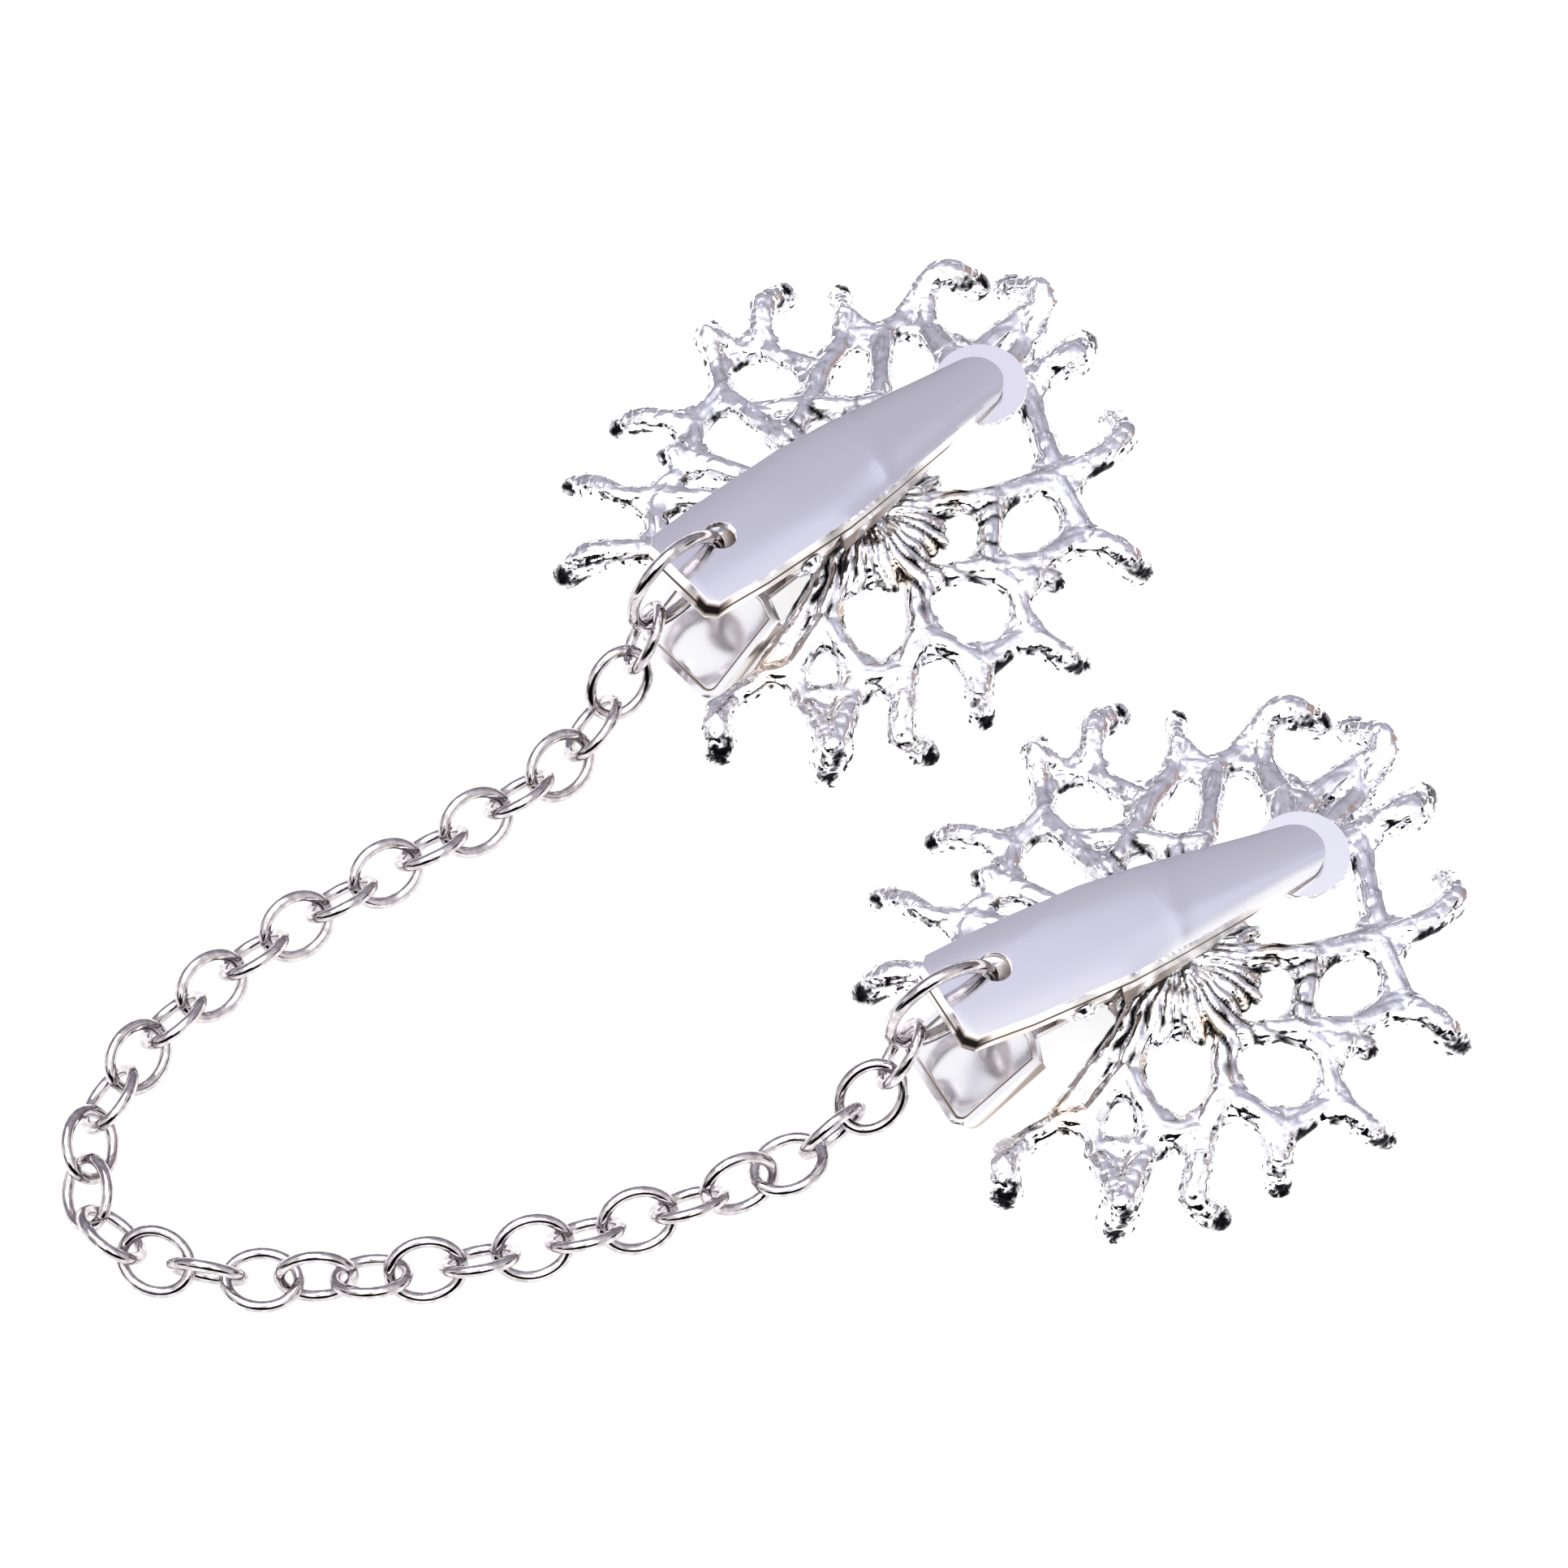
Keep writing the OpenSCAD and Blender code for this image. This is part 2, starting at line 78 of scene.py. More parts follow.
# Thumb tab: its start on the jaw and its fall, and the height of the jaw's underside
TAB_START = -4.2
TAB_SLOPE = 36
JAW_UNDER = -2.9
# Jump rings and links: half the length and width of the wire's middle line, and the wire
RING_HALF = 4.9
RING_WIRE = 1.2
LINK_HALF_LONG = 3.05
LINK_HALF_WIDE = 2.45
LINK_WIRE = 1.04
# Plaques: middle in the plan, and turn
PLAQUE_PLACES = {"a": ((7.7, 23.2), 6.1), "b": ((33.8, -20.8), 0.0)}
# Net of a plaque: its dome of wire centres, its arms' arch, and the heights that its skin keeps to
HUB_HEIGHT = 6.0
HUB_RADIUS = 7.4
DOME_REACH = 24.0
TIP_HEIGHT = 1.3
ARM_ARCH = 1.6
LOWEST = 0.02
SEAT_TOP = 7.1

# Joints of the net: angle and reach from its middle, radius of the wire there
JOINTS = (
    (125, 18.9, 1.0), (118, 23.0, 1.1), (109, 21.3, 1.0), (97, 16.5, 1.1), (105, 12.9, 0.9),
    (125, 10.4, 1.0), (125, 15.3, 0.9), (88, 11.4, 1.1), (87, 20.7, 1.0), (79, 21.0, 1.1),
    (72, 24.0, 1.2), (77, 12.4, 0.9), (61, 19.7, 1.4), (41, 21.3, 1.1), (11, 17.7, 1.1),
    (5, 11.4, 1.0), (-7, 19.3, 1.1), (-30, 11.8, 0.9), (-43, 17.5, 1.0), (-60, 17.3, 1.1),
    (-73, 12.3, 1.1), (-83, 15.5, 1.1), (-97, 15.3, 1.1), (-60, 8.0, 1.0), (-114, 10.9, 1.0),
    (-119, 15.8, 0.9), (-112, 18.2, 0.9), (-100, 17.2, 1.1), (-126, 17.5, 0.9), (-132, 21.9, 1.0),
    (163, 18.5, 1.0), (138, 18.2, 1.0), (149, 16.3, 0.9), (56, 21.1, 1.0), (48, 24.3, 1.2),
    (52, 27.0, 1.3), (48, 14.5, 1.0), (-179, 18.0, 1.0), (-33, 14.9, 0.9), (-21, 15.6, 1.1),
    (-104, 19.7, 1.5),
)
# Joint in the net's middle, which the hub hides
MIDDLE = -1
MIDDLE_RADIUS = 1.1
# Struts of the net, as pairs of joints
STRUTS = (
    (0, 1), (1, 2), (2, 3), (3, 4), (4, 6), (6, 0), (6, 5), (4, 5), (4, 7), (5, MIDDLE),
    (7, MIDDLE), (3, 8), (8, 9), (9, 11), (7, 11), (11, MIDDLE), (9, 10), (10, 12), (12, 36),
    (36, MIDDLE), (0, 31), (31, 32), (32, MIDDLE), (30, 32), (30, MIDDLE), (12, 33), (33, 35),
    (34, 35), (34, 36), (36, 13), (13, 14), (14, 15), (15, MIDDLE), (14, 16), (16, 39), (17, 15),
    (17, 23), (23, MIDDLE), (23, 20), (20, 19), (17, 38), (38, 18), (18, 19), (20, 21), (21, 22),
    (22, 24), (24, MIDDLE), (24, 25), (25, 26), (26, 40), (27, 22), (25, 28), (28, MIDDLE),
    (28, 29), (37, MIDDLE), (37, 30), (39, 17), (27, 40),
)
# Arms: joint it grows from, bend's angle and reach, tip's angle and reach, bow to its left,
# radius at the bend and at the tip
ARMS = (
    (1, 118, 24.6, 115, 25.8, 0, 1.1, 1.1), (2, 104, 25.4, 99, 26.7, 0, 1.2, 1.2),
    (8, 88, 23.8, 88, 26.0, 0, 0.8, 1.0), (10, 68, 28.0, 63, 28.8, 0.9, 1.5, 1.3),
    (35, 52, 30.0, 58, 29.7, -1.0, 1.2, 1.1), (13, 38, 26.0, 40, 28.3, 0, 1.7, 1.4),
    (14, 18, 25.4, 24, 25.5, -0.9, 1.2, 1.1), (16, -12, 22.9, -13, 24.3, 0, 1.3, 1.2),
    (38, -25, 16.1, -24, 17.5, 0, 0.9, 0.9), (18, -42, 21.2, -39, 22.3, 0, 1.2, 1.1),
    (19, -65, 19.3, -66, 20.3, 0, 1.2, 1.1), (21, -87, 20.9, -82, 21.8, 0, 1.2, 1.2),
    (40, -103, 22.0, -104, 23.3, 0, 1.7, 1.5), (29, -129, 23.4, -127, 24.3, 0, 1.2, 1.5),
    (37, 180, 24.2, -179, 26.1, 0, 1.4, 1.2), (30, 162, 23.9, 161, 26.1, 0.9, 1.0, 1.1),
    (31, 143, 23.0, 145, 24.5, 0, 1.0, 1.0), (32, 150, 18.2, 150, 18.9, 0, 0.8, 0.8),
)
# An arm that ends nearer than this is a stub, which stays up on the dome
STUB_REACH = 19
# Way that the patches of painted dark reflection on its wires face, and the lean of the pits in its
# heads
SHADE_STREAK_WAY = Vector((0.53, -0.85, 0.04))
HEAD_PIT_WAY = Vector((0.2, -0.6, 0.7))
# Places where the plate has worn to a warmer tone, from the plaque's middle, and their radius
WARM_SPOTS = (
    (2.7, -6.4, 1.9), (5.9, -3.8, 1.3), (8.0, 1.0, 1.5), (-9.4, -13.8, 2.0), (-2.5, -9.5, 1.2),
)


def clamp(value):
    """The value, kept between 0 and 1."""
    return min(1.0, max(0.0, value))


def linear(hex_colour):
    """An sRGB hex colour as linear RGBA."""
    values = [int(hex_colour[i:i + 2], 16) / 255 for i in (1, 3, 5)]
    return [v / 12.92 if v <= 0.04045 else ((v + 0.055) / 1.055) ** 2.4 for v in values] + [1.0]


def add_node(tree, kind, settings=None, links=None):
    """Adds a shader node, with its settings by name and its inputs by name or number."""
    node = tree.nodes.new(kind)
    for name, value in (settings or {}).items():
        setattr(node, name, value)
    for name, value in (links or {}).items():
        if isinstance(value, bpy.types.NodeSocket):
            tree.links.new(value, node.inputs[name])
        else:
            node.inputs[name].default_value = value
    return node


def new_material(name):
    """A material, with its node tree and its Principled shader."""
    material = bpy.data.materials.new(name)
    material.use_nodes = True
    tree = material.node_tree
    shader = tree.nodes["Principled BSDF"]
    return material, tree, shader


def per_metre(size_mm):
    """Texture scale that gives a feature of this size in millimetres."""
    return 1 / (size_mm * MM)


def set_ramp(node, stops):
    """Gives a colour ramp its stops, as pairs of position and hex colour."""
    ramp = node.color_ramp
    while len(ramp.elements) < len(stops):
        ramp.elements.new(1.0)
    for element, (position, hex_colour) in zip(ramp.elements, stops):
        element.position = position
        element.color = linear(hex_colour)


def facing_up(tree):
    """How far the surface faces up: 1 on top, 0 on a flank, -1 underneath."""
    normal = add_node(tree, "ShaderNodeNewGeometry").outputs["Normal"]
    return add_node(tree, "ShaderNodeSeparateXYZ", None, {0: normal}).outputs["Z"]


def plate_bump(tree, skin):
    """The fluid skin of the plate: fine streaks drawn along each wire, over soft lumps."""
    streak_mm = 0.38
    grain = add_node(tree, "ShaderNodeAttribute", {"attribute_name": "grain"}).outputs["Vector"]
    streaks = add_node(tree, "ShaderNodeTexNoise", None,
                       {"Vector": grain, "Scale": 1 / streak_mm, "Detail": 2.0, "Roughness": 0.5})
    height = add_node(tree, "ShaderNodeMath", {"operation": "MULTIPLY_ADD"},
                      {0: streaks.outputs["Fac"], 1: 0.8, 2: skin.outputs["Fac"]})
    return add_node(tree, "ShaderNodeBump", None,
                    {"Height": height.outputs[0], "Distance": 0.12 * MM, "Strength": 0.3})


def plate_painted_shade(tree, place):
    """Painted black shade on the plate: specks on its wires' flanks, and what the mesh carries as
    painted shade.
    """
    # Specks of painted black shade, on the wires' flanks only
    speck_mm = 0.75
    shade_spots = add_node(tree, "ShaderNodeTexNoise", None,
                    {"Vector": place, "Scale": per_metre(speck_mm), "Detail": 1.0})
    deep = add_node(tree, "ShaderNodeMapRange", None,
                    {"Value": shade_spots.outputs["Fac"], "From Min": 0.6, "From Max": 0.63})
    on_flank = add_node(tree, "ShaderNodeMapRange", None,
                        {"Value": facing_up(tree), "From Min": 0.75, "From Max": 0.35})
    flank_specks = add_node(tree, "ShaderNodeMath", {"operation": "MULTIPLY"},
                      {0: on_flank.outputs["Result"], 1: deep.outputs["Result"]})
    # The mesh's painted shade: black in the grooves, in the heads' pits and in patches on the wires'
    # near right sides
    painted_shade = add_node(tree, "ShaderNodeAttribute", {"attribute_name": "painted_shade"}).outputs["Fac"]
    return add_node(tree, "ShaderNodeMath", {"operation": "MAXIMUM"},
                    {0: flank_specks.outputs["Value"], 1: painted_shade}).outputs["Value"]


def cast_silver():
    """Bright silver plate on a white-metal casting: a fluid skin drawn into streaks along its wires,
    painted black shade on its flanks, grooves and head pits, and warm worn spots near its middle."""
    material, tree, shader = new_material("cast_silver_plate")
    skin_mm = 0.9
    place = add_node(tree, "ShaderNodeTexCoord").outputs["Object"]
    skin = add_node(tree, "ShaderNodeTexNoise", None,
                    {"Vector": place, "Scale": per_metre(skin_mm), "Detail": 2.0, "Roughness": 0.5})
    bump = plate_bump(tree, skin)
    black = plate_painted_shade(tree, place)
    tint = add_node(tree, "ShaderNodeValToRGB", None, {"Fac": skin.outputs["Fac"]})
    set_ramp(tint, ((0.35, "#e8e7ec"), (0.65, "#f8f8fa")))
    warm = add_node(tree, "ShaderNodeAttribute", {"attribute_name": "warmth"})
    warmed = add_node(tree, "ShaderNodeMix", {"data_type": "RGBA"},
                      {"Factor": warm.outputs["Fac"], 6: tint.outputs["Color"],
                       7: linear("#fff1e3")})
    # Painted shade: the plate's colour goes to near black where shade is painted
    colour = add_node(tree, "ShaderNodeMix", {"data_type": "RGBA"},
                      {"Factor": black, 6: warmed.outputs[2], 7: linear("#121013")})
    rough = add_node(tree, "ShaderNodeMapRange", None,
                     {"Value": black, "To Min": 0.09, "To Max": 0.35})
    tree.links.new(colour.outputs[2], shader.inputs["Base Color"])
    tree.links.new(rough.outputs["Result"], shader.inputs["Roughness"])
    tree.links.new(bump.outputs["Normal"], shader.inputs["Normal"])
    shader.inputs["Metallic"].default_value = 1.0
    return material


def polished_sheet():
    """Nickel-plated steel sheet: buffed to a near mirror, with painted brown-grey shade where it is
    rougher, and painted black shade in its creases. The wheel's grain is drawn as coarse as it needs to
    show."""
    material, tree, shader = new_material("buffed_nickel_sheet")
    haze_mm = 6
    grain_mm = 0.25
    place = add_node(tree, "ShaderNodeTexCoord").outputs["Object"]
    haze = add_node(tree, "ShaderNodeTexNoise", None,
                    {"Vector": place, "Scale": per_metre(haze_mm), "Detail": 2.0})
    grain = add_node(tree, "ShaderNodeTexNoise", None,
                     {"Vector": place, "Scale": per_metre(grain_mm), "Detail": 2.0})
    shade_and_dull = add_node(tree, "ShaderNodeAttribute", {"attribute_name": "shade_and_dullness"}).outputs["Fac"]
    haze_rough = add_node(tree, "ShaderNodeMapRange", None,
                          {"Value": haze.outputs["Fac"], "To Min": 0.1, "To Max": 0.18})
    rough = add_node(tree, "ShaderNodeMath", {"operation": "MULTIPLY_ADD"},
                     {0: shade_and_dull, 1: 0.6, 2: haze_rough.outputs["Result"]})
    # Painted shade: cream, brown-grey and black, by the mesh's shade-and-dullness attribute
    colour = add_node(tree, "ShaderNodeValToRGB", None, {"Fac": shade_and_dull})
    set_ramp(colour, ((0.0, "#f0eff4"), (0.25, "#ebe6e2"), (0.6, "#a3948c"), (1.0, "#0f0c0a")))
    bump = add_node(tree, "ShaderNodeBump", None,
                    {"Height": grain.outputs["Fac"], "Distance": 0.004 * MM, "Strength": 0.4})
    tree.links.new(colour.outputs["Color"], shader.inputs["Base Color"])
    tree.links.new(rough.outputs["Value"], shader.inputs["Roughness"])
    tree.links.new(bump.outputs["Normal"], shader.inputs["Normal"])
    shader.inputs["Metallic"].default_value = 1.0
    return material


def drawn_steel():
    """Drawn steel wire with a barrel-polished skin: darker than the plate, faintly warm."""
    material, tree, shader = new_material("barrel_polished_steel_wire")
    scuff_mm = 0.7
    place = add_node(tree, "ShaderNodeTexCoord").outputs["Object"]
    scuff = add_node(tree, "ShaderNodeTexNoise", None,
                     {"Vector": place, "Scale": per_metre(scuff_mm), "Detail": 3.0})
    rough = add_node(tree, "ShaderNodeMapRange", None,
                     {"Value": scuff.outputs["Fac"], "To Min": 0.03, "To Max": 0.11})
    tint = add_node(tree, "ShaderNodeValToRGB", None, {"Fac": scuff.outputs["Fac"]})
    set_ramp(tint, ((0.38, "#aaa4a6"), (0.62, "#cbc5c7")))
    bump = add_node(tree, "ShaderNodeBump", None,
                    {"Height": scuff.outputs["Fac"], "Distance": 0.02 * MM, "Strength": 0.35})
    tree.links.new(tint.outputs["Color"], shader.inputs["Base Color"])
    tree.links.new(rough.outputs["Result"], shader.inputs["Roughness"])
    tree.links.new(bump.outputs["Normal"], shader.inputs["Normal"])
    shader.inputs["Metallic"].default_value = 1.0
    return material


def pale_floor():
    """Matt white paper sweep, lit through from below so that only the closest shadows show."""
    material, tree, shader = new_material("white_paper")
    fibre_mm = 2
    place = add_node(tree, "ShaderNodeTexCoord").outputs["Object"]
    fibre = add_node(tree, "ShaderNodeTexNoise", None,
                     {"Vector": place, "Scale": per_metre(fibre_mm)})
    bump = add_node(tree, "ShaderNodeBump", None,
                    {"Height": fibre.outputs["Fac"], "Distance": 0.02 * MM, "Strength": 0.2})
    tree.links.new(bump.outputs["Normal"], shader.inputs["Normal"])
    shader.inputs["Base Color"].default_value = linear("#dcdcdc")
    shader.inputs["Emission Color"].default_value = linear("#ffffff")
    shader.inputs["Emission Strength"].default_value = 0.62
    shader.inputs["Roughness"].default_value = 0.9
    return material


CAST = cast_silver()
SHEET = polished_sheet()
WIRE = drawn_steel()


def settle_order(bm):
    """Puts a mesh's parts in an order of their places, because a bevel's own order changes from run
    to run and the shading of equal faces follows it."""
    slant = Vector((1, 1.37, 1.73))
    bm.verts.sort(key=lambda vert: vert.co.dot(slant))
    bm.edges.sort(key=lambda edge: (edge.verts[0].co + edge.verts[1].co).dot(slant))
    bm.faces.sort(key=lambda face: face.calc_center_median().dot(slant))


def finish_piece(bm, name, material, body, slot, *nodes):
    """Scales a mesh from millimetres to metres, and makes it a smooth piece on its body, in place
    of its CAD nodes."""
    settle_order(bm)
    bmesh.ops.scale(bm, vec=(MM, MM, MM), verts=bm.verts)
    for face in bm.faces:
        face.smooth = True
    mesh = bpy.data.meshes.new(name)
    bm.to_mesh(mesh)
    bm.free()
    mesh.materials.append(material)
    piece = bpy.data.objects.new(name, mesh)
    bpy.context.scene.collection.objects.link(piece)
    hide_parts(*nodes)
    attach(piece, body)
    return piece


def modified(mesh, kind, **settings):
    """A new mesh: this one after one modifier."""
    holder = bpy.data.objects.new("holder", mesh)
    bpy.context.scene.collection.objects.link(holder)
    modifier = holder.modifiers.new("step", kind)
    for name, value in settings.items():
        setattr(modifier, name, value)
    depsgraph = bpy.context.evaluated_depsgraph_get()
    made = bpy.data.meshes.new_from_object(holder.evaluated_get(depsgraph))
    bpy.data.objects.remove(holder)
    return made


def dome(reach):
    """Height of the net's wire centres at a reach from its middle."""
    return TIP_HEIGHT + (HUB_HEIGHT - TIP_HEIGHT) * max(0.0, 1 - (reach / DOME_REACH) ** 2)


def polar(angle, reach, height):
    """The place at an angle in degrees and a reach from the plaque's middle."""
    turn = math.radians(angle)
    return Vector((reach * math.cos(turn), reach * math.sin(turn), height))


def joint_place(index):
    """The place of a joint of the net, and the radius of the wire there."""
    if index == MIDDLE:
        return Vector((0, 0, HUB_HEIGHT)), MIDDLE_RADIUS
    angle, reach, radius = JOINTS[index]
    return polar(angle, reach, dome(reach)), radius


def add_rod(bm, start, start_radius, end, end_radius):
    """A tapered rod with a ball at each end."""
    axis = end - start
    turn = axis.to_track_quat("Z", "Y").to_matrix().to_4x4()
    bmesh.ops.create_cone(bm, cap_ends=True, segments=14, radius1=start_radius,
                          radius2=end_radius, depth=axis.length,
                          matrix=Matrix.Translation((start + end) / 2) @ turn)
    for place, radius in ((start, start_radius), (end, end_radius)):
        bmesh.ops.create_icosphere(bm, subdivisions=2, radius=radius,
                                   matrix=Matrix.Translation(place))


def arm_points(row):
    """An arm's root, elbow, bend and tip, each with its radius: it arches outwards and comes down."""
    root_index, bend_angle, bend_reach, tip_angle, tip_reach, bow, bend_radius, tip_radius = row
    stub_arch = 0.3
    elbow_waist = 0.92
    root, root_radius = joint_place(root_index)
    stub = tip_reach < STUB_REACH
    tip_height = dome(tip_reach) if stub else tip_radius
    tip = polar(tip_angle, tip_reach, tip_height)
    bend = polar(bend_angle, bend_reach, tip_height + (stub_arch if stub else ARM_ARCH))
    out = (bend - root).normalized()
    elbow = (root + bend) / 2 + Vector((-out.y, out.x, 0)) * bow + Vector((0, 0, ARM_ARCH / 4))
    elbow_radius = (root_radius + bend_radius) / 2 * elbow_waist
    return (root, root_radius), (elbow, elbow_radius), (bend, bend_radius), (tip, tip_radius)


def curve_through(a, b, c, d, t):
    """A point between b and c on a smooth curve through all four."""
    return 0.5 * (2 * b + (c - a) * t + (2 * a - 5 * b + 4 * c - d) * t ** 2
                  + (3 * b - a - 3 * c + d) * t ** 3)


def arm_rods(row):
    """The short rods of one arm, along a smooth curve from its joint to its round head."""
    stops = arm_points(row)
    padded = (stops[0],) + stops + (stops[-1],)
    cuts = 4
    stations = []
    for first, second, third, fourth in zip(padded, padded[1:], padded[2:], padded[3:]):
        for share in (k / cuts for k in range(cuts)):
            place = curve_through(first[0], second[0], third[0], fourth[0], share)
            stations.append((place, second[1] + (third[1] - second[1]) * share))
    stations.append(stops[-1])
    return [(*a, *b) for a, b in zip(stations, stations[1:])]


def net_rods():
    """Every rod of the net: start, radius, end, radius."""
    rods = [(*joint_place(a), *joint_place(b)) for a, b in STRUTS]
    for row in ARMS:
        rods += arm_rods(row)
    return rods


def ways_out(rods, place):
    """The directions of the rods that meet at a place, in order round it."""
    ways = []
    for start, _, end, _ in rods:
        for near, far in ((start, end), (end, start)):
            if (near - place).length < 0.01:
                ways.append((far - near).normalized())
    return sorted(ways, key=lambda way: math.atan2(way.y, way.x))


def web_rods(rods):
    """Short thin rods across the corners of the net, which round its openings."""
    least_corner = 0.2
    most_corner = 2.3
    reach_per_radius = 2.3
    thickness = 0.68
    webs = []
    for index in range(len(JOINTS)):
        place, radius = joint_place(index)
        reach = radius * reach_per_radius
        ways = ways_out(rods, place)
        for way, other in zip(ways, ways[1:] + ways[:1]):
            if len(ways) > 1 and least_corner < way.angle(other) < most_corner:
                webs.append((place + way * reach, radius * thickness,
                             place + other * reach, radius * thickness))
    return webs


def add_hub(bm):
    """The raised round middle with its radial ribs."""
    thick = 1.6
    sunk = 1
    top_share = 0.72
    rib_count = 14
    bmesh.ops.create_cone(bm, cap_ends=True, segments=56, radius1=HUB_RADIUS,
                          radius2=HUB_RADIUS * top_share, depth=thick,
                          matrix=Matrix.Translation((0, 0, HUB_HEIGHT - sunk + thick / 2)))
    for k in range(rib_count):
        angle = k * 360 / rib_count
        inner = polar(angle, HUB_RADIUS * 0.5, HUB_HEIGHT + 0.2)
        outer = polar(angle, HUB_RADIUS, dome(HUB_RADIUS) - 0.3)
        add_rod(bm, inner, 0.7, outer, 0.6)


def groove(place):
    """How deep a place lies in the radial grooves round the middle: 1 at their bottom, 0 elsewhere."""
    spokes = 19
    waver = 2.2
    breadth = 0.65
    end = 13
    fade = 4
    turn = math.atan2(place.y, place.x) * spokes + waver * noise.noise(place * 0.35)
    near_middle = clamp((end - place.xy.length) / fade)
    return near_middle * max(0.0, 1 - abs(math.sin(turn)) / breadth)


def shade_streak(place, normal):
    """How much painted dark reflection a place gets, in the long patches low on its wires' near right
    sides: 0 to 1.
    """
    least_turn = 0.7
    edge = 6
    patch_edge = 9
    turned = normal.dot(SHADE_STREAK_WAY) + 0.3 * noise.noise(place * 1.9)
    patch = noise.noise(place * 0.45) + 0.5 * noise.noise(place * 1.3)
    return clamp((turned - least_turn) * edge) * clamp(patch * patch_edge - 1.0)


def relief(place, bark):
    """Depth of the casting's surface texture: lumps, bark-like creases along its wires, and the
    grooves round its middle."""
    crease_edge = 5
    groove_depth = 2.0
    crease = 1 - min(1.0, abs(noise.noise(bark)) * crease_edge)
    lump = noise.noise(place * 0.9)
    return 0.5 * lump - crease - groove_depth * groove(place)


def warmth(place):
    """How warm the plate is at a place: 1 in the middle of a worn spot, 0 away from them."""
    edge = 1.6
    return max(clamp(edge - edge * math.hypot(place.x - x, place.y - y) / radius)
               for x, y, radius in WARM_SPOTS)


def head_recesses():
    """The pits in the arms' heads, each high on its outer near side: a finder of their middles by
    place, and their radii."""
    least_share = 0.5
    more_share = 0.3
    finder = KDTree(len(ARMS))
    radii = []
    for index, row in enumerate(ARMS):
        tip, radius = arm_points(row)[-1]
        way = (tip.xy.to_3d().normalized() * 0.5 + HEAD_PIT_WAY).normalized()
        finder.insert(tip + way * radius, index)
        radii.append((least_share + more_share * (index % 3) / 2) * radius)
    finder.balance()
    return finder, radii


def fused_net(rods):
    """The net's rods, webs and hub fused into one softened skin."""
    bm = bmesh.new()
    for rod in rods + web_rods(rods):
        add_rod(bm, *rod)
    add_hub(bm)
    rough = bpy.data.meshes.new("net")
    bm.to_mesh(rough)
    bm.free()
    fused = modified(rough, "REMESH", mode="VOXEL", voxel_size=0.213)
    return modified(fused, "SMOOTH", factor=0.5, iterations=11)


def rod_finder(rods):
    """A finder of the rod that a place lies on, by a few points along each rod."""
    samples = 5
    finder = KDTree(len(rods) * samples)
    for index, (start, _, end, _) in enumerate(rods):
        for k in range(samples):
            finder.insert(start.lerp(end, (k + 0.5) / samples), index)
    finder.balance()
    return finder


def plaque_mesh():
    """The casting round its own middle, with its relief, and with its painted shade, warmth and grain
    as attributes. The grain is stretched along each wire, so that a pattern on it runs in streaks."""
    depth = 0.15
    regrown = 0.21
    pit_depth = 0.3
    raggedness = 0.95
    rods = net_rods()
    finder = rod_finder(rods)
    shade_spots, pit_radii = head_recesses()
    bm = bmesh.new()
    bm.from_mesh(fused_net(rods))
    bm.normal_update()
    warm = bm.verts.layers.float.new("warmth")
    painted_shade = bm.verts.layers.float.new("painted_shade")
    grain = bm.verts.layers.float_vector.new("grain")
    moves = []
    for vert in bm.verts:
        start, _, end, _ = rods[finder.find(vert.co)[1]]
        axis = (end - start).normalized()
        along = (vert.co - start).dot(axis)
        across = vert.co - start - axis * along
        bark = across * 1.5 + axis * (along * 0.3) + start * 3
        _, head, distance = shade_spots.find(vert.co)
        ragged = distance * (1 + raggedness * noise.noise(vert.co * 2.2))
        nearness = max(0.0, 1 - ragged / pit_radii[head])
        # Painted shadow, black in the bottoms of the grooves round the middle
        groove_shade = groove(vert.co) * (2 + 7 * noise.noise(vert.co * 0.5))
        vert[grain] = across + axis * (along * 0.14) + start * 3
        # Painted shade: black in the heads' pits, in the grooves and in patches on the wires' near
        # right sides
        vert[painted_shade] = clamp(max(nearness * 4, groove_shade, shade_streak(vert.co, vert.normal)))
        vert[warm] = warmth(vert.co)
        rise = depth * relief(vert.co, bark) + regrown - pit_depth * min(1.0, 2 * nearness)
        moves.append(vert.normal * rise)
    for vert, move in zip(bm.verts, moves):
        vert.co += move
        vert.co.z = min(max(vert.co.z, LOWEST), SEAT_TOP)
    return bm


def make_plaques():
    """Both plaques, as turned copies of one mesh."""
    bm = plaque_mesh()
    for side in SIDES:
        (x, y), turn = PLAQUE_PLACES[side]
        copy = bm.copy()
        place = Matrix.Translation((x, y, 0)) @ Matrix.Rotation(math.radians(turn), 4, "Z")
        bmesh.ops.transform(copy, matrix=place, verts=copy.verts)
        finish_piece(copy, "coral_plaque_" + side, CAST, "clip", "cast_silver", "plaque_" + side)
    bm.free()


def merged_copy(node):
    """A CAD node's mesh in millimetres, with its triangles joined into whole faces."""
    bm = bmesh.new()
    bm.from_mesh(frame["nodes"][node].data)
    bmesh.ops.scale(bm, vec=(1 / MM, 1 / MM, 1 / MM), verts=bm.verts)
    bmesh.ops.remove_doubles(bm, verts=bm.verts, dist=0.002)
    bmesh.ops.dissolve_limit(bm, angle_limit=math.radians(1), verts=bm.verts, edges=bm.edges)
    return bm


def round_edges(bm, radius, segments, chosen=lambda edge: True, sharp=25):
    """Rounds the edges that a test picks, where their faces meet at more than an angle."""
    limit = math.radians(sharp)
    edges = [e for e in bm.edges if len(e.link_faces) == 2
             and e.calc_face_angle() > limit and chosen(e)]
    bmesh.ops.bevel(bm, geom=edges, offset=radius, offset_type="OFFSET", affect="EDGES",
                    segments=segments, profile=0.5, material=-1, clamp_overlap=True)


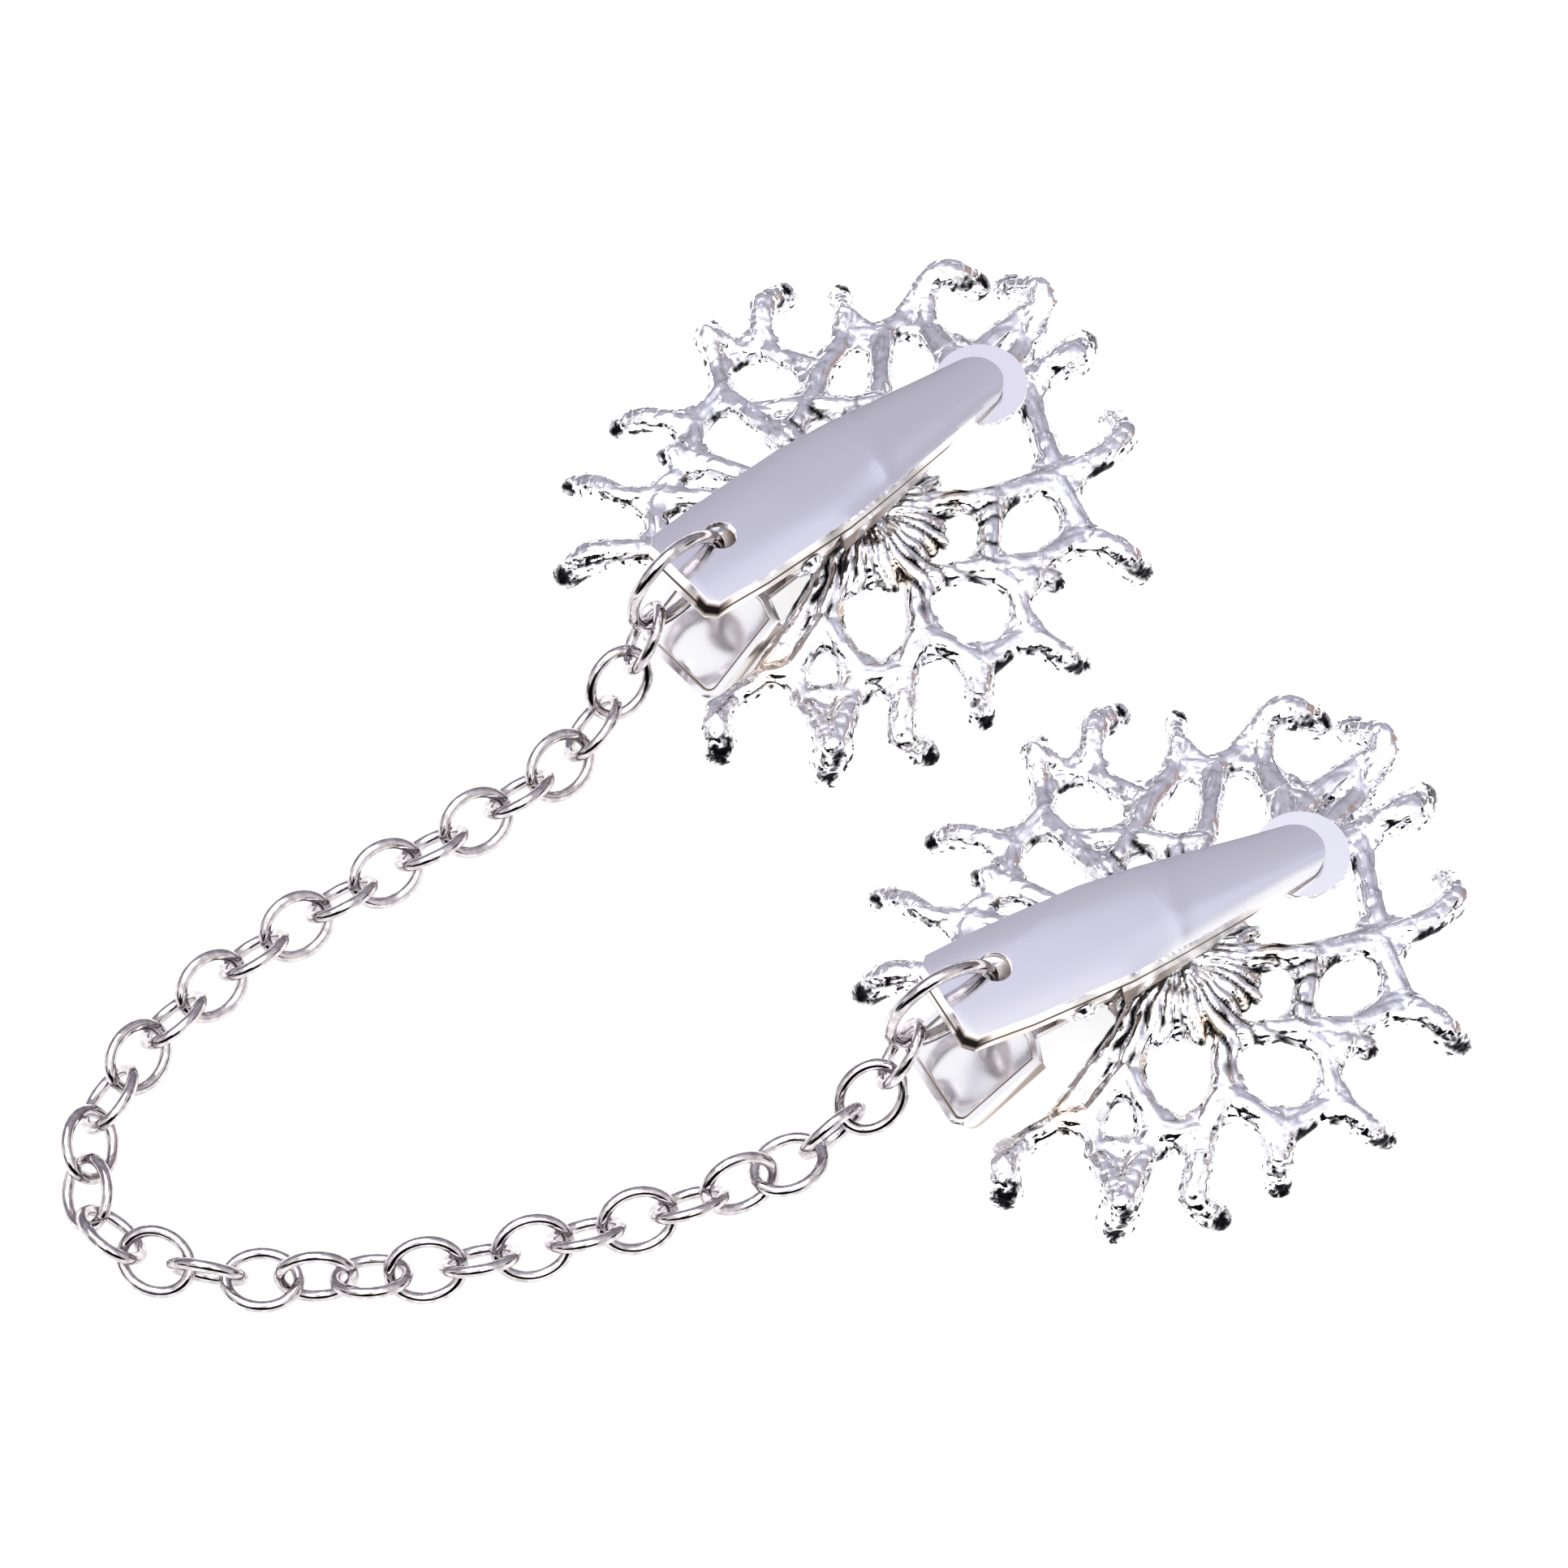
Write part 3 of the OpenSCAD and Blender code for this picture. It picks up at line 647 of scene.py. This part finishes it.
def flat_shaded(piece):
    """Lets the broad faces keep their own shading beside the rounded edges."""
    piece.modifiers.new("faces_lead", "WEIGHTED_NORMAL").weight = 100
    return piece


def dressed(name, node, material, body, slot, radius, segments=2):
    """A pressed or turned piece: the CAD node's shape with its edges broken as tumbling leaves them."""
    bm = merged_copy(node)
    round_edges(bm, radius, segments)
    return flat_shaded(finish_piece(bm, name, material, body, slot, node))


def clip_place(side):
    """Matrix of a clip's own frame in millimetres: origin on the pin, +X to the tip."""
    joint = HINGES["lever_" + side]
    heading = math.atan2(joint["axis"][0], -joint["axis"][1])
    return Matrix.Translation(Vector(joint["pos_m"]) / MM) @ Matrix.Rotation(heading, 4, "Z")


def slice_across(bm, way, places):
    """Cuts a mesh by planes across a direction, at these distances from the origin."""
    for distance in places:
        bmesh.ops.bisect_plane(bm, geom=bm.verts[:] + bm.edges[:] + bm.faces[:], dist=0.001,
                               plane_co=Vector(way) * distance, plane_no=way)


def level_to(bm, start, angle):
    """Shears the part of a bent sheet in front of a crease up by its bend, or down again."""
    for vert in bm.verts:
        vert.co.z += max(0.0, vert.co.x - start) * math.tan(math.radians(angle))


def half_width(x):
    """Half the lever's width: it tapers in front of its ears, faster in front of its crease."""
    taper = 0.013 * max(0.0, x - EARS_END)
    front_taper = 0.012 * max(0.0, x - CREASE_X)
    return LEVER_HALF * (1 - taper - front_taper)


def lever_rise(x, y):
    """How far the lever's sheet stands over the flat: crowned, rolled down at its near edge, bowed,
    with a faint slanting fold."""
    crown_height = 0.34
    roll_depth = 0.35
    unrolled = 0.2
    roll_start = 4
    roll_grows = 6
    bow_height = 0.17
    bow_curve = 0.0006
    fold_height = 0.04
    fold_slant = 0.33
    fold_half = 1.2
    crown = crown_height * (1 - min(1.0, abs(y) / half_width(x)) ** 4)
    nearer = max(0.0, -y / half_width(x) - unrolled) / (1 - unrolled)
    roll = roll_depth * clamp((x - roll_start) / roll_grows) * nearer ** 2
    bow = bow_height - bow_curve * (x - CREASE_X) ** 2
    from_fold = abs(x - CREASE_X - 1 - fold_slant * y)
    fold = fold_height * max(0.0, 1 - from_fold / fold_half)
    return crown - roll + bow + fold


def rim_depth(x):
    """Depth of the lever's near and far rims below its sheet's top, in front of its ears."""
    deepest = 3.1
    lost = 2.4
    narrows_at = 13.8
    return deepest - lost * clamp((x - narrows_at) / 6)


def flank_shade_and_dullness(x, depth):
    """Painted shade and dullness of the lever's flank: nearly buffed, and in front of its ears painted
    brown-grey shade below a border, where the bright part comes down to a point, and paler towards its
    tip."""
    nearly_buffed = 0.25
    border = 2.6
    blend = 0.2
    point_x = 6.5
    point_half = 1.1
    point_drop = 0.8
    brown = 0.62
    paler_by = 0.34
    flank = nearly_buffed if 0.5 < depth < 3.2 else 0.0
    if x < 2:
        return flank
    point = point_drop * max(0.0, 1 - abs(x - point_x) / point_half)
    brownest = brown - paler_by * clamp((x - 8) / 3)
    return min(brownest, max(flank, (depth - border - point) / blend))


def lever_shade_and_dullness(x, y, z):
    """Painted shade and dullness of the lever at a place: 0 buffed, 0.6 painted brown-grey shade, 1
    black.
    """
    hole_reach = 1.5
    corner_cut = 2.1
    line_depth = 1.5
    line_half = 0.1
    line_end = 19
    depth = SHEET_TOP - z
    # Painted shade on the wall of the hole
    if math.hypot(x - HOLE_X, y - HOLE_Y) < hole_reach and depth > 0.3:
        return 0.4
    # Painted black shadow in the near rear corner
    if x + y < corner_cut - PIN_FROM_REAR - LEVER_REAR_HALF and 0.2 < depth < 1.9:
        return 1.0
    # Painted dark line of reflection along the flank
    line = min(line_depth, rim_depth(x) - 0.1)
    if x < line_end and abs(depth - line) < line_half:
        return 0.9
    return flank_shade_and_dullness(x, depth)


def top_edge(edge):
    """Whether an edge bounds the top of the lever's sheet."""
    beside_top = any(face.normal.z > 0.85 and face.calc_center_median().z > 2.5
                     for face in edge.link_faces)
    return beside_top and edge.verts[0].co.z > 2.8


def shape_lever_vert(vert):
    """Lowers the rim at the lever's tip, and raises its sheet to its crown and folds."""
    tip_start = 18
    tip_end = 23.3
    tip_rim = 0.75
    rim_slope = 0.1245
    still_depth = 1.8
    blend = 0.7
    rim = tip_rim + rim_slope * (tip_end - vert.co.x)
    at_rim = abs(vert.co.y) > half_width(vert.co.x) - 0.5 and SHEET_TOP - vert.co.z > 0.55
    if tip_start < vert.co.x < tip_end and at_rim:
        vert.co.z = min(vert.co.z, SHEET_TOP - rim)
    share = clamp((still_depth - SHEET_TOP + vert.co.z) / blend)
    vert.co.z += share * lever_rise(vert.co.x, vert.co.y)


def lever_plate(side):
    """The lever: its sheet crowned across its width, with a rounded bend down to its flanks."""
    bm = merged_copy("lever_" + side)
    own = clip_place(side) @ Matrix.Rotation(math.radians(LEVER_SLOPE), 4, "Y")
    bmesh.ops.transform(bm, matrix=own.inverted(), verts=bm.verts)
    level_to(bm, CREASE_X, CREASE_BEND)
    slice_across(bm, (0, 1, 0), LEVER_SLICES_Y)
    slice_across(bm, (1, 0, 0), LEVER_SLICES_X)
    slice_across(bm, (0, 0, 1), [SHEET_TOP - depth for depth in LEVER_SLICE_DEPTHS])
    round_edges(bm, 1.1, 6, top_edge, 40)
    round_edges(bm, 0.1, 2, sharp=50)
    # Painted shade and dullness at each corner, which the sheet's material reads
    shade_and_dullness = bm.verts.layers.float.new("shade_and_dullness")
    for vert in bm.verts:
        vert[shade_and_dullness] = lever_shade_and_dullness(*vert.co)
        shape_lever_vert(vert)
    level_to(bm, CREASE_X, -CREASE_BEND)
    bmesh.ops.transform(bm, matrix=own, verts=bm.verts)
    name = "lever_" + side
    return flat_shaded(finish_piece(bm, "lever_plate_" + side, SHEET, name, "polished_sheet", name))


def verts_of(faces):
    """The corners of some faces, each once and in a fixed order."""
    return list(dict.fromkeys(vert for face in faces for vert in face.verts))


def edges_of(faces):
    """The edges of some faces, each once and in a fixed order."""
    return list(dict.fromkeys(edge for face in faces for edge in face.edges))


def sink_dish(bm, faces):
    """Cuts some level faces into a grid and sinks it to a shallow dish."""
    dish_depth = 0.2
    cuts = [((1, 0, 0), x) for x in range(-9, 0)] + [((0, 1, 0), y) for y in range(-6, 4)]
    for way, distance in cuts:
        geometry = faces + edges_of(faces) + verts_of(faces)
        made = bmesh.ops.bisect_plane(bm, geom=geometry, dist=0.001,
                                      plane_co=Vector(way) * distance, plane_no=way)
        faces = [part for part in made["geom"] if isinstance(part, bmesh.types.BMFace)]
    verts = verts_of(faces)
    xs = [vert.co.x for vert in verts]
    ys = [vert.co.y for vert in verts]
    for vert in verts:
        along = (2 * vert.co.x - min(xs) - max(xs)) / (max(xs) - min(xs))
        across = (2 * vert.co.y - min(ys) - max(ys)) / (max(ys) - min(ys))
        vert.co.z -= dish_depth * (1 - along * along) * (1 - across * across)


def dish_tab(bm, shade_and_dullness):
    """In the tab's own frame: a rim round its top, a crease inside it with painted black shade on its
    near side and painted grey shade elsewhere, and a shallow dish.
    """
    rim = 0.55
    step = 0.16
    crease_width = 0.12
    tops = [face for face in bm.faces if face.normal.z > 0.98
            and face.calc_center_median().x < -2 and face.calc_center_median().z > 0.5]
    bmesh.ops.inset_region(bm, faces=tops, thickness=rim, use_even_offset=True)
    bmesh.ops.inset_region(bm, faces=tops, thickness=step, depth=-step, use_even_offset=True)
    crease = verts_of(tops)
    # Painted shade in the crease: black on its near side, grey elsewhere
    nearest = min(vert.co.y for vert in crease)
    for vert in crease:
        vert[shade_and_dullness] = 1.0 if vert.co.y < nearest + 1 else 0.5
    bmesh.ops.inset_region(bm, faces=tops, thickness=crease_width, use_even_offset=True)
    for vert in verts_of(tops):
        vert[shade_and_dullness] = 0.0
    sink_dish(bm, tops)


def jaw_plate(side):
    """The lower jaw: a dished thumb tab in its rim, with painted shade and dullness under its tab, on
    its ears and on its sides.
    """
    under_shade_and_dullness = 0.55
    side_shade_and_dullness = 0.6
    bm = merged_copy("lower_jaw_" + side)
    shade_and_dullness = bm.verts.layers.float.new("shade_and_dullness")
    place = clip_place(side)
    tab = place @ Matrix.Translation((TAB_START, 0, JAW_UNDER)) @ Matrix.Rotation(
        math.radians(-TAB_SLOPE), 4, "Y")
    bmesh.ops.transform(bm, matrix=tab.inverted(), verts=bm.verts)
    bm.normal_update()
    for vert in bm.verts:
        # Painted shade and dullness on the underside of the thumb tab
        if vert.co.x < 0.3 and vert.co.z < 0.45:
            vert[shade_and_dullness] = under_shade_and_dullness
    dish_tab(bm, shade_and_dullness)
    round_edges(bm, 0.12, 2)
    bmesh.ops.transform(bm, matrix=place.inverted() @ tab, verts=bm.verts)
    for vert in bm.verts:
        # Painted brown-grey shade and dullness on the ears and the jaw's sides
        in_ears = -2.5 < vert.co.x < 3 and vert.co.z > -2
        on_side = vert.co.x > -3 and abs(vert.co.y) > 1.5 and vert.co.x < 14
        if in_ears or on_side:
            vert[shade_and_dullness] = side_shade_and_dullness
    bmesh.ops.transform(bm, matrix=place, verts=bm.verts)
    name = "lower_jaw_" + side
    return flat_shaded(finish_piece(bm, "jaw_plate_" + side, SHEET, "clip", "polished_sheet", name))


def loop_place(node):
    """Matrix that puts a loop made in the plan, long way along X, where a CAD loop is."""
    mesh = frame["nodes"][node].data
    points = np.unique(np.round([v.co / MM for v in mesh.vertices], 4), axis=0)
    centre = points.mean(0)
    _, axes = np.linalg.eigh(np.cov((points - centre).T))
    normal, wide, long = axes.T
    if np.dot(np.cross(long, wide), normal) < 0:
        normal = -normal
    matrix = Matrix(np.column_stack((long, wide, normal)).tolist()).to_4x4()
    return Matrix.Translation(centre) @ matrix


def wire_loop(name, node, half_long, half_wide, wire, steps):
    """A closed oval of round wire, in place of a CAD loop."""
    bm = bmesh.new()
    start = Matrix.Translation((half_wide, 0, 0)) @ Matrix.Rotation(math.pi / 2, 4, "X")
    bmesh.ops.create_circle(bm, segments=12, radius=wire / 2, matrix=start)
    bmesh.ops.spin(bm, geom=bm.verts[:] + bm.edges[:], axis=(0, 0, 1), cent=(0, 0, 0),
                   angle=2 * math.pi, steps=steps, use_merge=True)
    bmesh.ops.recalc_face_normals(bm, faces=bm.faces)
    for vert in bm.verts:
        turn = math.atan2(vert.co.y, vert.co.x)
        out = Vector((half_wide * math.cos(turn), half_long * math.sin(turn), 0)).normalized()
        middle = Vector((half_long * math.cos(turn), half_wide * math.sin(turn), 0))
        height = vert.co.z
        vert.co = middle + out * (vert.co.xy.length - half_wide)
        vert.co.z = height
    bmesh.ops.transform(bm, matrix=loop_place(node), verts=bm.verts)
    return finish_piece(bm, name, WIRE, "clip", "chain_steel", node)


def make_clips():
    """The lever, jaw, pin, spring and ring of each clip."""
    for side in SIDES:
        lever_plate(side)
        jaw_plate(side)
        dressed("rivet_pin_" + side, "hinge_pin_" + side, SHEET, "clip", "chain_steel", 0.08)
        leaf = dressed("leaf_spring_" + side, "spring_" + side, WIRE, "clip", "chain_steel", 0.05)
        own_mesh(leaf)
        wire_loop("split_ring_" + side, "jump_ring_" + side, RING_HALF, RING_HALF, RING_WIRE, 64)


def make_chain():
    """The chain's links, each in place of its CAD node."""
    for node in LINKS:
        wire_loop("oval_" + node, node, LINK_HALF_LONG, LINK_HALF_WIDE, LINK_WIRE, 40)


def make_floor():
    """The sheet of paper that all lies on."""
    half_size = 1.5
    bm = bmesh.new()
    bmesh.ops.create_grid(bm, x_segments=1, y_segments=1, size=half_size)
    mesh = bpy.data.meshes.new("floor")
    bm.to_mesh(mesh)
    bm.free()
    mesh.materials.append(pale_floor())
    floor = bpy.data.objects.new("floor", mesh)
    bpy.context.scene.collection.objects.link(floor)


# Grey and lavender of the studio behind the object, by the height of the direction to it
SKY_BEHIND = (
    (0.0, "#85848e"), (0.35, "#a6a5b0"), (0.57, "#b8b6c3"), (0.67, "#bab8c6"), (0.735, "#c0becd"),
    (0.765, "#d6d5e6"), (0.82, "#dddceb"), (0.87, "#e8e7f3"), (0.92, "#ffffff"),
)
# Other parts of it that the metal mirrors: way to its middle, its half width and soft edge in
# degrees, colour and strength
STUDIO = (
    ((0.0, -0.38, 0.92), 28, 14, "#ffffff", 2.4),
    ((0.28, -0.93, 0.30), 22, 5, "#050406", 1.0),
    ((0.97, -0.10, 0.24), 11, 4, "#08070a", 1.0),
    ((-0.14, -0.95, 0.28), 21, 5, "#080608", 1.0),
    ((-0.1, -0.8, 0.59), 13, 5, "#0a080b", 1.0),
    ((-0.50, -0.84, 0.24), 19, 5, "#0f0d11", 1.0),
    ((-0.9, -0.4, 0.20), 13, 5, "#17141a", 1.0),
    ((-0.86, 0.02, 0.50), 2.5, 1.5, "#c2c3cb", 1.0),
    ((-0.84, 0.36, 0.40), 5, 2, "#8f8a84", 1.0),
    ((0.0, -0.49, 0.87), 5, 3, "#0d0c10", 1.0),
    ((0.9, 0.35, 0.20), 14, 8, "#b09a92", 1.0),
)


def sky_behind(tree, direction):
    """White, and graded down to grey behind the object."""
    parts = add_node(tree, "ShaderNodeSeparateXYZ", None, {0: direction})
    graded = add_node(tree, "ShaderNodeValToRGB", None, {"Fac": parts.outputs["Z"]})
    set_ramp(graded, SKY_BEHIND)
    behind = add_node(tree, "ShaderNodeMapRange", {"interpolation_type": "SMOOTHSTEP"},
                      {"Value": parts.outputs["Y"], "From Min": 0.0, "From Max": 0.28})
    mixed = add_node(tree, "ShaderNodeMix", {"data_type": "RGBA"},
                     {"Factor": behind.outputs["Result"], 6: linear("#ffffff"),
                      7: graded.outputs["Color"]})
    return mixed.outputs[2]


def make_light():
    """A white tent, with the grey, lavender, bright and dark parts that draw the metal's edges."""
    world = bpy.data.worlds.new("white_tent")
    bpy.context.scene.world = world
    world.use_nodes = True
    tree = world.node_tree
    direction = add_node(tree, "ShaderNodeTexCoord").outputs["Generated"]
    colour = sky_behind(tree, direction)
    for way, half, soft, hex_colour, strength in STUDIO:
        lean = add_node(tree, "ShaderNodeVectorMath", {"operation": "DOT_PRODUCT"},
                        {0: direction, 1: Vector(way).normalized()})
        cover = add_node(tree, "ShaderNodeMapRange", {"interpolation_type": "SMOOTHSTEP"},
                         {"Value": lean.outputs["Value"],
                          "From Min": math.cos(math.radians(half + soft / 2)),
                          "From Max": math.cos(math.radians(half - soft / 2))})
        shown = [value * strength for value in linear(hex_colour)]
        mixed = add_node(tree, "ShaderNodeMix", {"data_type": "RGBA"},
                         {"Factor": cover.outputs["Result"], 6: colour, 7: shown})
        colour = mixed.outputs[2]
    background = tree.nodes["Background"]
    tree.links.new(colour, background.inputs["Color"])
    background.inputs["Strength"].default_value = 1.1


def make_lamp(name, place, size, power):
    """A soft box that faces the object."""
    light = bpy.data.lights.new(name, "AREA")
    light.size = size
    light.energy = power
    lamp = bpy.data.objects.new(name, light)
    lamp.location = place
    lamp.rotation_euler = (-Vector(place)).to_track_quat("-Z", "Y").to_euler()
    bpy.context.scene.collection.objects.link(lamp)


def make_camera():
    """The photograph's view: steep from the front, with a long lens."""
    pixels = 1932
    focal_pixels = 9000
    camera = bpy.data.cameras.new("camera")
    camera.sensor_width = 36
    camera.lens = camera.sensor_width * focal_pixels / pixels
    camera.clip_end = 10
    eye = bpy.data.objects.new("camera", camera)
    eye.location = (0.0008, -0.3103, 0.5478)
    target = Vector((0.0008, -0.0004, 0))
    eye.rotation_euler = (target - eye.location).to_track_quat("-Z", "Y").to_euler()
    bpy.context.scene.collection.objects.link(eye)
    bpy.context.scene.camera = eye


make_camera()
make_plaques()
make_clips()
make_chain()
make_floor()
make_light()
make_lamp("overhead_box", (-0.2, 0.1, 0.7), 0.5, 3)
bpy.context.scene.view_settings.view_transform = "Standard"
